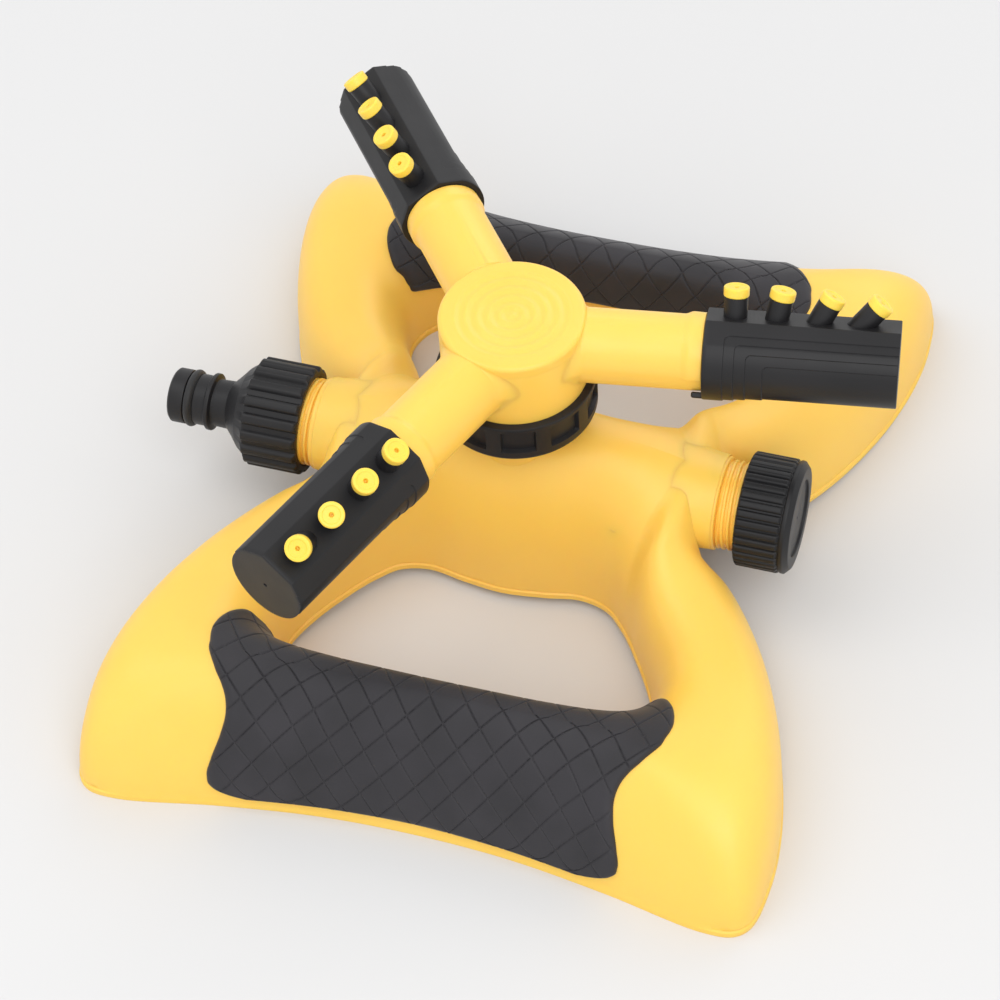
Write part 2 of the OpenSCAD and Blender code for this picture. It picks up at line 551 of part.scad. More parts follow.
// Outline of the cap: [radius, x]
cap_outline = [[0, cap_low_x], [cap_core_r, cap_low_x], [cap_core_r, cap_high_x - cap_band],
               [cap_band_r, cap_high_x - cap_band + 0.3], [cap_band_r, cap_high_x - cap_edge],
               [cap_band_r - cap_edge, cap_high_x], [0, cap_high_x]];
module end_cap() color(black) translate([0, 0, pipe_z]) difference() {
    union() {
        rotate([0, 90, 0]) rotate_extrude() polygon(cap_outline);
        for (n = [0 : cap_ribs - 1]) rotate([360 / cap_ribs * n, 0, 0]) translate([0, 0, cap_rib_mid_r])
            on_arm(cap_rib_r, cap_low_x + 0.4, cap_high_x - cap_band + 0.1);
    }
    on_arm(female_r, cap_low_x - cut, cap_seat_x);
    on_arm(cap_dish_r, cap_high_x - cap_dish_t, cap_high_x + cut);
}
module end_cap_washer() color(rubber) pipe_ring(female_r - 0.1, pipe_bore_r - 0.4, outlet_end_x, cap_seat_x);

base_shell();
front_grip();
rear_grip();
water_tee();
tee_screws();
spindle();
spindle_gasket();
spindle_o_ring();
lower_slip_washer();
upper_slip_washer();
rotor_hub();
hub_cap();
rotor_nut();
inlet_connector();
inlet_o_ring();
inlet_washer();
inlet_filter();
end_cap();
end_cap_washer();
for (k = [0 : 2]) {
    arm_barrel(k);
    arm_o_ring(k);
    for (n = [0 : 3]) nozzle(k, n);
}
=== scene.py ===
"""Looks of the rotating lawn sprinkler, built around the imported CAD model."""
import json
import math

import bmesh
import bpy
import numpy as np
from mathutils import Matrix, Vector


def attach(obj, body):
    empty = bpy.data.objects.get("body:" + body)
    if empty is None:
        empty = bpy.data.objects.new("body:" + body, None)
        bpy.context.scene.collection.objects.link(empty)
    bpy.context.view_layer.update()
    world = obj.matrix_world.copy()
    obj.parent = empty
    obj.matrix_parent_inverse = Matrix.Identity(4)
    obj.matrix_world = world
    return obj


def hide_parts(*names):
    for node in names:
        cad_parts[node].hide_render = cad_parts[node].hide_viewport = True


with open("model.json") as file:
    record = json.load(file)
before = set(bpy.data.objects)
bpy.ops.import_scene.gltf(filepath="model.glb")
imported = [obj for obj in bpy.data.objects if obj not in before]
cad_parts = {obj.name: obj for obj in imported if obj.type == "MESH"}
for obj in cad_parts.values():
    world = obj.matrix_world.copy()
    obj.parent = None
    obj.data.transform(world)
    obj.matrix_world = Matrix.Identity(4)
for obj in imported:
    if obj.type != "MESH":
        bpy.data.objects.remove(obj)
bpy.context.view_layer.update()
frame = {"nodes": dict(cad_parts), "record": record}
MM = 0.001


# ---- general mesh helpers ---------------------------------------------------------------------
def smooth_step(x):
    """0 below 0, 1 above 1, and a soft rise between."""
    x = np.clip(x, 0.0, 1.0)
    return x * x * (3.0 - 2.0 * x)


def make_piece(name, points_mm, faces, material, body, crease_deg=40.0):
    """A piece from points in millimetres; faces sharper than crease_deg keep their edge."""
    mesh = bpy.data.meshes.new(name)
    mesh.from_pydata((np.asarray(points_mm, float) * MM).tolist(), [], faces)
    tidy = bmesh.new()
    tidy.from_mesh(mesh)
    bmesh.ops.remove_doubles(tidy, verts=tidy.verts, dist=2e-6)
    bmesh.ops.dissolve_degenerate(tidy, edges=tidy.edges, dist=1e-6)
    bmesh.ops.recalc_face_normals(tidy, faces=tidy.faces)
    tidy.to_mesh(mesh)
    tidy.free()
    mesh.shade_smooth()
    mesh.set_sharp_from_angle(angle=math.radians(crease_deg))
    mesh.materials.append(material)
    piece = bpy.data.objects.new(name, mesh)
    bpy.context.scene.collection.objects.link(piece)
    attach(piece, body)
    return piece


def grid_faces(rows, columns, start=0, close_rows=False, close_columns=False):
    """Quads of a grid of rows x columns points, numbered row by row from start."""
    row_count = rows if close_rows else rows - 1
    column_count = columns if close_columns else columns - 1
    r, c = np.meshgrid(np.arange(row_count), np.arange(column_count), indexing="ij")
    r1, c1 = (r + 1) % rows, (c + 1) % columns
    quads = np.stack([r * columns + c, r * columns + c1, r1 * columns + c1, r1 * columns + c], -1)
    return (quads.reshape(-1, 4) + start).tolist()


def combine(*parts):
    """Joins (points, faces) pairs into one pair."""
    points, faces, start = [], [], 0
    for p, f in parts:
        p = np.asarray(p, float).reshape(-1, 3)
        points.append(p)
        faces += [[i + start for i in face] for face in f]
        start += len(p)
    return np.vstack(points), faces


def rounded(outline, radius, steps=5):
    """The closed outline with every corner replaced by an arc of at most the given radius."""
    outline = [np.asarray(p[:2], float) for p in outline]
    out = []
    for i, p in enumerate(outline):
        a, b = outline[i - 1] - p, outline[(i + 1) % len(outline)] - p
        la, lb = np.linalg.norm(a), np.linalg.norm(b)
        a, b = a / la, b / lb
        half = math.acos(np.clip(a @ b, -1, 1)) / 2
        if half > math.radians(85) or abs(p[0]) < 1e-9:
            out.append(p)
            continue
        cut = min(radius / math.tan(half), 0.45 * la, 0.45 * lb)
        r = cut * math.tan(half)
        centre = p + (a + b) / np.linalg.norm(a + b) * r / math.sin(half)
        start, end = p + a * cut - centre, p + b * cut - centre
        turn = math.atan2(start[0] * end[1] - start[1] * end[0], start @ end)
        for k in range(steps + 1):
            t = turn * k / steps
            c, s = math.cos(t), math.sin(t)
            out.append(centre + [c * start[0] - s * start[1], s * start[0] + c * start[1]])
    return np.array(out)


def lathe(outline, steps=96):
    """Revolves a closed (radius, height) outline about Z."""
    outline = np.asarray(outline, float)
    turn = np.linspace(0, 2 * math.pi, steps, endpoint=False)[:, None]
    points = np.stack([outline[:, 0] * np.cos(turn), outline[:, 0] * np.sin(turn),
                       np.broadcast_to(outline[:, 1], (steps, len(outline)))], -1)
    return points.reshape(-1, 3), grid_faces(steps, len(outline), close_rows=True, close_columns=True)


def spun(outlines, turns):
    """Closes (angle, place, [radius, height]) outlines about Z; turns holds each outline's angle."""
    points = np.stack([outlines[..., 0] * np.cos(turns)[:, None], outlines[..., 0] * np.sin(turns)[:, None],
                       outlines[..., 1]], -1)
    steps, count = points.shape[:2]
    return points.reshape(-1, 3), grid_faces(steps, count, close_rows=True, close_columns=True)


def block(x, y, z, edge=0.4):
    """A box between pairs of x, y and z, with bevelled edges."""
    low, high = np.array([x[0], y[0], z[0]], float), np.array([x[1], y[1], z[1]], float)
    points = []
    for axis in range(3):
        for corner in np.ndindex(2, 2, 2):
            p = np.where(corner, high, low)
            inward = np.where(corner, -edge, edge)
            inward[axis] = 0
            points.append(p + inward)
    box = bmesh.new()
    for p in points:
        box.verts.new(p)
    bmesh.ops.convex_hull(box, input=box.verts)
    box.verts.index_update()
    result = [list(v.co) for v in box.verts], [[v.index for v in f.verts] for f in box.faces]
    box.free()
    return np.array(result[0]), result[1]


def dense(low, high, fine, spots, reach, coarse):
    """Places from low to high in coarse steps, with fine steps within reach of each spot."""
    places = list(np.linspace(low, high, max(2, int(math.ceil((high - low) / coarse)) + 1)))
    for spot in spots:
        places += list(np.linspace(spot - reach, spot + reach, int(2 * reach / fine) + 1))
    places = np.unique(np.round([p for p in places if low <= p <= high], 4))
    return places[np.concatenate([[True], np.diff(places) > fine * 0.4])]


def placed(part, matrix):
    """A (points, faces) pair moved by a 4x4 matrix in millimetres."""
    points, faces = part
    m = np.array(matrix)
    return points @ m[:3, :3].T + m[:3, 3], faces


def along_x(part, x=0.0, z=0.0):
    """Turns a part made about +Z so that its axis is +X, then moves it."""
    return placed(part, Matrix.Translation((x, 0, z)) @ Matrix.Rotation(math.radians(90), 4, "Y"))


# ---- materials --------------------------------------------------------------------------------
class NodeMaterial:
    """A small builder for a procedural material on object coordinates."""

    def __init__(self, name, roughness, specular=0.5):
        self.material = bpy.data.materials.new(name)
        self.material.use_nodes = True
        self.tree = self.material.node_tree
        self.shader = self.tree.nodes["Principled BSDF"]
        self.shader.inputs["Roughness"].default_value = roughness
        self.shader.inputs["Specular IOR Level"].default_value = specular
        self.place = self.tree.nodes.new("ShaderNodeTexCoord").outputs["Object"]

    def noise(self, size_mm, detail=3.0, roughness=0.5):
        node = self.tree.nodes.new("ShaderNodeTexNoise")
        node.inputs["Scale"].default_value = 1000.0 / size_mm
        node.inputs["Detail"].default_value = detail
        node.inputs["Roughness"].default_value = roughness
        self.tree.links.new(self.place, node.inputs["Vector"])
        return node.outputs["Fac"]

    def ramp(self, source, low, high, low_at=0.3, high_at=0.7):
        node = self.tree.nodes.new("ShaderNodeValToRGB")
        node.color_ramp.elements[0].position = low_at
        node.color_ramp.elements[0].color = (*low, 1)
        node.color_ramp.elements[1].position = high_at
        node.color_ramp.elements[1].color = (*high, 1)
        self.tree.links.new(source, node.inputs["Fac"])
        return node.outputs["Color"]

    def span(self, source, low, high):
        node = self.tree.nodes.new("ShaderNodeMapRange")
        node.inputs["To Min"].default_value = low
        node.inputs["To Max"].default_value = high
        self.tree.links.new(source, node.inputs["Value"])
        return node.outputs["Result"]

    def color(self, socket):
        self.tree.links.new(socket, self.shader.inputs["Base Color"])

    def vary_roughness(self, source, low, high):
        self.tree.links.new(self.span(source, low, high), self.shader.inputs["Roughness"])

    def bump(self, source, height_mm, strength=1.0, base=None):
        node = self.tree.nodes.new("ShaderNodeBump")
        node.inputs["Distance"].default_value = height_mm * MM
        node.inputs["Strength"].default_value = strength
        self.tree.links.new(source, node.inputs["Height"])
        if base is not None:
            self.tree.links.new(base, node.inputs["Normal"])
        self.tree.links.new(node.outputs["Normal"], self.shader.inputs["Normal"])
        return node.outputs["Normal"]


def plastic(name, low, high, roughness, grain_mm, grain_height_mm, glow=0.0, specular=0.5):
    """Moulded plastic: faint colour drift, a fine moulded grain and uneven gloss."""
    m = NodeMaterial(name, sum(roughness) / 2, specular)
    m.color(m.ramp(m.noise(38, 2), low, high))
    m.vary_roughness(m.noise(9, 4), *roughness)
    fine = m.bump(m.noise(grain_mm, 2), grain_height_mm)
    m.bump(m.noise(26, 2), 0.05, base=fine)
    if glow:
        m.shader.inputs["Subsurface Weight"].default_value = glow
        m.shader.inputs["Subsurface Radius"].default_value = (1, 0.5, 0.1)
        m.shader.inputs["Subsurface Scale"].default_value = 3.0 * MM
    return m.material


def soft_rubber(name, low, high):
    """Soft-touch grip: a matt surface with a dense fine grain and a little sheen."""
    m = NodeMaterial(name, 0.6, 0.35)
    m.color(m.ramp(m.noise(14, 4), low, high))
    m.vary_roughness(m.noise(3.5, 3), 0.5, 0.68)
    fine = m.bump(m.noise(0.45, 2), 0.035)
    m.bump(m.noise(6, 3), 0.05, base=fine)
    m.shader.inputs["Sheen Weight"].default_value = 0.12
    m.shader.inputs["Sheen Roughness"].default_value = 0.5
    return m.material


def brushed_metal(name, low, high):
    m = NodeMaterial(name, 0.35)
    m.shader.inputs["Metallic"].default_value = 1.0
    m.color(m.ramp(m.noise(4, 4), low, high))
    m.vary_roughness(m.noise(2, 3), 0.28, 0.45)
    m.bump(m.noise(0.6, 2), 0.02)
    return m.material


YELLOW_LOW, YELLOW_HIGH = (0.97, 0.580, 0.090), (0.98, 0.605, 0.105)
yellow = plastic("yellow_shell", YELLOW_LOW, YELLOW_HIGH, (0.36, 0.46), 0.7, 0.012, glow=0.25)
yellow_fine = plastic("yellow_parts", YELLOW_LOW, YELLOW_HIGH, (0.30, 0.40), 0.5, 0.008, glow=0.2)
yellow_tip = plastic("yellow_nozzles", (0.96, 0.64, 0.07), (0.98, 0.68, 0.09), (0.32, 0.42), 0.4, 0.008,
                     glow=0.2)
black = plastic("black_plastic", (0.010, 0.010, 0.011), (0.016, 0.0155, 0.017), (0.36, 0.50), 0.5, 0.012,
                specular=0.3)
grip_rubber = soft_rubber("grip_rubber", (0.018, 0.017, 0.020), (0.028, 0.026, 0.031))
seal_rubber = soft_rubber("seal_rubber", (0.012, 0.012, 0.013), (0.022, 0.022, 0.023))
slip_plastic = plastic("slip_plastic", (0.70, 0.70, 0.67), (0.78, 0.78, 0.75), (0.25, 0.35), 0.6, 0.006)
zinc_steel = brushed_metal("zinc_steel", (0.50, 0.50, 0.52), (0.66, 0.66, 0.68))

SLOT_MATERIALS = {
    "yellow_shell": yellow, "yellow_pipe": yellow_fine, "yellow_rotor": yellow_fine,
    "yellow_nozzle": yellow_tip, "black_plastic": black, "soft_grip": grip_rubber,
    "seal_rubber": seal_rubber, "white_slip": slip_plastic, "screw_steel": zinc_steel,
    "filter_steel": zinc_steel}


def dress_cad_nodes():
    """Every carried-over CAD node takes the procedural material of its record slot."""
    for part in frame["record"]["subparts"]:
        node = frame["nodes"][part["node"]]
        node.data.materials.clear()
        node.data.materials.append(SLOT_MATERIALS[part["material_slot"]])


# ---- places that the base and the water pipe share, in millimetres ---------------------------
PIPE_Z = 34.0                                  # height of the water pipe's axis
SCREW_X, SCREW_Y, SCREW_R = 34.0, 16.4, 1.7    # the four screws that hold the pipe to the base
LUG_LOW, LUG_TOP, LUG_R = 20.0, 24.0, 5.0      # the pipe's lugs, which the base's bosses stand on


# ---- base shell -------------------------------------------------------------------------------
# The same arched sections as the CAD shell, in millimetres: inner rim x, y; outer end x, y; crown
# height over the rim; crown place; fullness of the inner and the outer side; height of the outer end
# over the rim; rim height over the ground.
SECTIONS = np.array([
    [0.0, 24.8, 0.0, 0.0, 51.6, 1.00, 2.3, 2.0, 51.6, 3.0],
    [12.0, 23.6, 14.0, 0.0, 51.6, 1.00, 2.3, 2.0, 51.6, 3.0],
    [23.0, 21.8, 28.0, 0.0, 51.4, 1.00, 2.3, 2.0, 51.4, 3.0],
    [32.0, 24.0, 41.0, 0.0, 49.6, 1.00, 2.3, 2.0, 49.6, 3.0],
    [38.0, 29.5, 52.0, 0.0, 45.9, 1.00, 2.3, 2.0, 45.9, 3.0],
    [42.0, 34.5, 55.0, 12.6, 41.0, 0.74, 2.3, 2.2, 38.2, 3.0],
    [45.0, 39.0, 58.0, 15.2, 37.0, 0.60, 2.4, 2.5, 26.0, 3.0],
    [48.0, 43.5, 63.0, 16.5, 34.0, 0.54, 2.5, 2.6, 10.0, 2.8],
    [50.8, 48.0, 70.0, 20.6, 32.2, 0.50, 2.5, 2.7, 0.0, 2.4],
    [53.5, 53.0, 79.0, 32.0, 31.8, 0.50, 2.5, 2.8, 0.0, 1.8],
    [55.5, 58.0, 87.5, 47.0, 32.2, 0.50, 2.6, 3.0, 0.0, 1.2],
    [56.2, 63.0, 95.0, 66.0, 33.2, 0.49, 2.6, 3.3, 0.0, 0.5],
    [55.0, 68.5, 99.8, 86.0, 34.4, 0.45, 2.8, 3.4, 0.0, 0.0],
    [52.0, 73.0, 101.0, 104.0, 35.0, 0.38, 3.1, 3.0, 0.0, 0.0],
    [47.0, 76.4, 98.0, 119.0, 35.0, 0.27, 3.4, 2.1, 0.0, 0.0],
    [39.0, 78.6, 86.0, 122.0, 35.0, 0.22, 3.5, 1.55, 0.0, 0.0],
    [26.0, 79.8, 57.0, 116.8, 35.0, 0.23, 3.5, 1.4, 0.0, 0.0],
    [13.0, 80.3, 28.0, 112.9, 35.0, 0.24, 3.5, 1.4, 0.0, 0.0],
    [0.0, 80.4, 0.0, 111.8, 35.0, 0.25, 3.5, 1.4, 0.0, 0.0]])
LAST_SECTION = len(SECTIONS) - 1
ARCH_SECTION = 4                       # the last section whose outer end lies on the y = 0 plane
SECTION_STEPS = 14                     # rows of the mesh from one section to the next
SHELL_WALL = 2.4
BOSS_R, BOSS_TOP = 3.2, 36.0
LIP_WIDTH, LIP_HEIGHT = 1.9, 0.35      # thin band round every lower edge
LINE_WIDTH, LINE_DEPTH = 0.5, 0.3      # fine line above that band
RIM_FADE = 4.0                         # where an outer end is this high, it has no band any more

# Soft flare of the shell round the upper side of the pipe: radius, x; and its angle to each side
SLEEVE = rounded([[14.1, 46.0], [16.35, 46.0], [16.2, 48.0], [15.95, 50.0], [15.6, 52.0], [15.2, 54.0],
                  [14.85, 56.0], [14.55, 58.0], [14.4, 60.4], [14.1, 60.8]], 1.5, 5)
SLEEVE_SPAN, SLEEVE_STEPS = 112, 90


def section_values(place):
    """The section table at fractional places, on a smooth curve through its rows."""
    n = np.floor(place).astype(int)
    t = (place - n)[:, None]

    def row(k):
        m = np.abs(k)
        values = SECTIONS[np.where(m > LAST_SECTION, 2 * LAST_SECTION - m, m)].copy()
        values[(k < 0) | (k > LAST_SECTION)] *= [-1, 1, -1, 1, 1, 1, 1, 1, 1, 1]
        return values

    a, b, c, d = row(n - 1), row(n), row(n + 1), row(n + 2)
    return 0.5 * (2 * b + (c - a) * t + (2 * a - 5 * b + 4 * c - d) * t ** 2
                  + (3 * b - a - 3 * c + d) * t ** 3)


def shell_points(place, across, inset=0.0):
    """Points of the shell's skin at section places and parts of the way across, inset millimetres inside."""
    place, across = np.broadcast_arrays(np.asarray(place, float), np.asarray(across, float))
    shape = place.shape
    p, v = place.ravel(), across.ravel()
    value = section_values(p)
    on_axis = p <= ARCH_SECTION
    inner = value[:, 0:2]
    outer = np.stack([value[:, 2], np.where(on_axis, 0, np.maximum(0, value[:, 3]))], -1)
    height = value[:, 4]
    crown = np.where(on_axis, 1, np.clip(value[:, 5], 0, 0.98))
    side_out = value[:, 7]
    end_share = np.clip(value[:, 8] / height, 0, 1)
    end_angle = np.where(on_axis, math.pi / 2, math.pi - np.arcsin(end_share ** (side_out / 2)))
    a = end_angle * v
    rising = a <= math.pi / 2 + 1e-9
    side = np.where(rising, value[:, 6], side_out)
    c = np.abs(np.cos(a)) ** (2 / side)
    reach = np.where(rising, 1, np.maximum(1e-6, np.abs(np.cos(end_angle)) ** (2 / side_out)))
    shift = inset / np.linalg.norm(outer - inner, axis=1) * c
    q = np.where(rising, crown * (1 - c) + shift, crown + (1 - crown) * c / reach - shift)
    xy = inner + (outer - inner) * q[:, None]
    z = np.maximum(0, value[:, 9]) + (height - inset) * np.abs(np.sin(a)) ** (2 / side)
    y = np.where(on_axis & (v >= 1), 0, xy[:, 1])
    return np.stack([xy[:, 0], y, z], -1).reshape(*shape, 3)


def shell_normals(place, across):
    """Outward unit normals of the skin."""
    step = 0.004
    low, high = np.clip(across - step, 0, 1), np.clip(across + step, 0, 1)
    down = shell_points(place + step, across) - shell_points(place - step, across)
    over = shell_points(place, high) - shell_points(place, low)
    normal = np.cross(over, down)
    return normal / np.maximum(1e-12, np.linalg.norm(normal, axis=-1, keepdims=True))


def distance_along(points, axis):
    """Length along one direction of a grid of points, from its start."""
    gap = np.linalg.norm(np.diff(points, axis=axis), axis=-1)
    return np.concatenate([np.zeros_like(np.take(gap, [0], axis)), np.cumsum(gap, axis)], axis)


def lip_profile(d):
    """Offset of the skin at distance d from a lower edge: a thin band, then a fine line."""
    band = LIP_HEIGHT * (1 - smooth_step((d - LIP_WIDTH + 0.25) / 0.3))
    line = LINE_DEPTH * np.exp(-((d - LIP_WIDTH - LINE_WIDTH / 2) / (LINE_WIDTH / 2)) ** 2)
    return band - line


def edge_dense(count, edge_count, edge_share):
    """0 to 1 with extra steps near both ends."""
    edge = np.linspace(0, edge_share, edge_count, endpoint=False)
    middle = np.linspace(edge_share, 1 - edge_share, count)
    return np.concatenate([edge, middle, 1 - edge[::-1]])


def build_base_shell():
    place = np.linspace(0, LAST_SECTION, LAST_SECTION * SECTION_STEPS + 1)[:, None]
    across = edge_dense(count=56, edge_count=22, edge_share=0.03)[None, :]
    skin = shell_points(place, across)
    ends = section_values(place.ravel())
    end_height = np.where(place.ravel() <= ARCH_SECTION, ends[:, 4], ends[:, 8])[:, None]
    from_inner = distance_along(skin, 1)
    from_outer = from_inner[:, -1:] - from_inner
    on_rim = 1 - smooth_step(end_height / RIM_FADE)
    offset = lip_profile(from_inner) + lip_profile(from_outer) * on_rim
    skin = skin + shell_normals(place, across) * [1, 1, 0] * offset[..., None]
    skin[0, :, 0], skin[-1, :, 0] = 0, 0
    lining = shell_points(place, across, SHELL_WALL)
    rows, columns = skin.shape[:2]
    arch = ARCH_SECTION * SECTION_STEPS
    layer = rows * columns
    faces = grid_faces(rows, columns) + grid_faces(rows, columns, layer)
    for column, first in ((0, 0), (columns - 1, arch)):
        for i in range(first, rows - 1):
            a, b = i * columns + column, (i + 1) * columns + column
            faces.append([a, b, b + layer, a + layer])
    quarter = np.vstack([skin.reshape(-1, 3), lining.reshape(-1, 3)])
    parts = [(quarter * [sx, sy, 1], faces) for sx in (1, -1) for sy in (1, -1)]
    angle = np.radians(np.linspace(-SLEEVE_SPAN, SLEEVE_SPAN, SLEEVE_STEPS))[:, None]
    ring = np.stack([np.broadcast_to(SLEEVE[:, 1], (SLEEVE_STEPS, len(SLEEVE))),
                     SLEEVE[:, 0] * np.sin(angle), SLEEVE[:, 0] * np.cos(angle) + PIPE_Z], -1)
    sleeve = grid_faces(SLEEVE_STEPS, len(SLEEVE), close_columns=True)
    boss_outline = rounded([[0, LUG_TOP], [BOSS_R, LUG_TOP], [BOSS_R, BOSS_TOP], [0, BOSS_TOP]], 0.3)
    boss = lathe(boss_outline, 40)
    for sx in (1, -1):
        parts.append((ring.reshape(-1, 3) * [sx, 1, 1], sleeve))
        for sy in (1, -1):
            parts.append(placed(boss, Matrix.Translation((sx * SCREW_X, sy * SCREW_Y, 0))))
    points, faces = combine(*parts)
    shell = make_piece("shell", points, faces, yellow, "base", crease_deg=50)
    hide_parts("base_shell")


# ---- grips ------------------------------------------------------------------------------------
# Part of the way across the bar, and the half width of the grip there
GRIP_HALF = np.array([
    [0.110, 48.7], [0.130, 53.4], [0.155, 56.2], [0.200, 58.0], [0.250, 59.7], [0.300, 61.9],
    [0.365, 64.5], [0.410, 66.2], [0.447, 67.3], [0.470, 67.6], [0.487, 67.2], [0.503, 66.3],
    [0.523, 64.9], [0.550, 63.3], [0.582, 61.7], [0.615, 59.7], [0.652, 57.8], [0.696, 56.8],
    [0.750, 57.5], [0.815, 59.5], [0.865, 60.4], [0.892, 59.5], [0.908, 57.2], [0.920, 53.4],
    [0.930, 48.6]])
GRIP_SKIN = 1.7                        # height of the grip over the bar
GRIP_EDGE_ROUND = 2.6                  # width over which its edge rolls down
GRIP_BEDDING = 0.25                    # how far its underside lies inside the bar
GRIP_ROWS, GRIP_COLUMNS, GRIP_END_COLUMNS = 330, 620, 20
GRIP_END = 0.94                        # part of the half width where the finer end columns start
GRIP_SECTIONS = (17.8, 10.8)           # section places between which its ends lie
CELL_X, CELL_Y = 10.6, 13.0            # a diamond of the groove pattern, along and across the bar
GROOVE_WIDTH, GROOVE_DEPTH = 0.42, 0.42
GROOVE_FADE = 1.2                      # distance from the grip's edge over which the grooves begin


def smooth_curve(x, table):
    """A smooth curve through a table's points (monotone cubic on its first column)."""
    tx, ty = table[:, 0], table[:, 1]
    slope = np.gradient(ty, tx)
    i = np.clip(np.searchsorted(tx, x) - 1, 0, len(tx) - 2)
    h = tx[i + 1] - tx[i]
    t = (x - tx[i]) / h
    return ((2 * t ** 3 - 3 * t ** 2 + 1) * ty[i] + (t ** 3 - 2 * t ** 2 + t) * h * slope[i]
            + (-2 * t ** 3 + 3 * t ** 2) * ty[i + 1] + (t ** 3 - t ** 2) * h * slope[i + 1])


def groove(value, cell):
    """Depth share of grooves that repeat every cell; value in millimetres."""
    d = np.abs((value / cell + 0.5) % 1.0 - 0.5) * cell
    return np.exp(-(d / (GROOVE_WIDTH / 2)) ** 2)


def build_grip(name, node, side):
    """A grip over the bar on one side, with its width from GRIP_HALF and crossing grooves on top."""
    across = np.linspace(GRIP_HALF[0, 0], GRIP_HALF[-1, 0], GRIP_ROWS)[:, None]
    u = np.concatenate([np.linspace(-1, -GRIP_END, GRIP_END_COLUMNS, endpoint=False),
                        np.linspace(-GRIP_END, GRIP_END, GRIP_COLUMNS),
                        np.linspace(GRIP_END, 1, GRIP_END_COLUMNS + 1)[1:]])[None, :]
    half = smooth_curve(across, GRIP_HALF)[:, 0]
    tried = np.linspace(*GRIP_SECTIONS, 500)[None, :]
    widths = shell_points(tried, across)[..., 0]
    edge = np.array([[np.interp(h, w, tried[0])] for h, w in zip(half, widths)])
    place = LAST_SECTION - (LAST_SECTION - edge) * np.abs(u)
    mirror = np.where(u < 0, -1.0, 1.0)[..., None] * [1, 0, 0] + [0, 1, 1]
    across_all = np.broadcast_to(across, place.shape)
    base = shell_points(place, across_all) * mirror
    normal = shell_normals(np.minimum(place, LAST_SECTION - 0.01), across_all) * mirror
    along, down = distance_along(base, 1), distance_along(base, 0)
    edge_gap = np.minimum(np.minimum(along, along[:, -1:] - along), np.minimum(down, down[-1:] - down))
    roll = np.clip(edge_gap / GRIP_EDGE_ROUND, 0, 1)
    height = GRIP_SKIN * np.sqrt(np.clip(1 - (1 - roll) ** 2, 0, 1))
    middle = down - down[across.shape[0] // 2]
    x = base[..., 0]
    tilt = CELL_X / CELL_Y
    narrow = CELL_X / math.hypot(1, tilt)
    lines = np.maximum(groove((x + tilt * middle) / math.hypot(1, tilt), narrow),
                       groove((x - tilt * middle) / math.hypot(1, tilt), narrow))
    height = height - GROOVE_DEPTH * lines * smooth_step(edge_gap / GROOVE_FADE)
    top = base + normal * height[..., None]
    bottom = base - normal * GRIP_BEDDING
    rows, columns = x.shape
    layer = rows * columns
    faces = grid_faces(rows, columns) + grid_faces(rows, columns, layer)
    rim = [i * columns for i in range(rows)] + [(rows - 1) * columns + j for j in range(1, columns)]
    rim += [i * columns + columns - 1 for i in range(rows - 2, -1, -1)] + list(range(columns - 2, 0, -1))
    for a, b in zip(rim, rim[1:] + rim[:1]):
        faces.append([a, b, b + layer, a + layer])
    points = np.vstack([top.reshape(-1, 3), bottom.reshape(-1, 3)]) * [1, side, 1]
    grip = make_piece(name, points, faces, grip_rubber, "base", crease_deg=60)
    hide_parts(node)


# ---- water pipe -------------------------------------------------------------------------------
INLET_END, OUTLET_END = -79.6, 78.8
PIPE_R, PIPE_BORE, RISER_R, RISER_BORE, RISER_TOP = 13.9, 9.6, 13.6, 9.0, 61.0
THREAD_R, THREAD_DEPTH, THREAD_PITCH, THREAD_LENGTH = 13.2, 0.8, 1.814, 17.4
RIDGE_HALF, RIDGE_FLANK = 0.36, 0.2    # of a thread ridge, as parts of the pitch
SPOUT_CHAMFER = 0.4
LUG_ARM = (9.0, 13.0)                  # from the pipe's side to the lug, along Y


def threaded_end(start, direction):
    """A spout's end with its helical thread, as a skin about +Z from start outwards."""
    turns = np.linspace(0, 2 * math.pi, 120, endpoint=False)
    along = np.linspace(0, THREAD_LENGTH, 125)
    phase = (along[None, :] / THREAD_PITCH - direction * turns[:, None] / (2 * math.pi)) % 1.0
    ridge = smooth_step((RIDGE_HALF - np.abs(phase - 0.5)) / RIDGE_FLANK)
    run_in = smooth_step(along / 0.8) * smooth_step((THREAD_LENGTH - SPOUT_CHAMFER - along) / 1.2)
    radius = THREAD_R - THREAD_DEPTH + THREAD_DEPTH * ridge * run_in
    skin = np.stack([radius, np.broadcast_to(along, radius.shape)], -1)
    head = np.array([[PIPE_BORE + SPOUT_CHAMFER, THREAD_LENGTH],
                     [PIPE_BORE, THREAD_LENGTH - SPOUT_CHAMFER], [PIPE_BORE, 0]])
    skin[:, -1, 0] -= SPOUT_CHAMFER
    outlines = np.concatenate([skin, np.broadcast_to(head, (len(turns), *head.shape))], 1)
    part = spun(outlines, turns)
    side = Matrix.Rotation(math.radians(90 * direction), 4, "Y")
    return placed(part, Matrix.Translation((start, 0, PIPE_Z)) @ side)


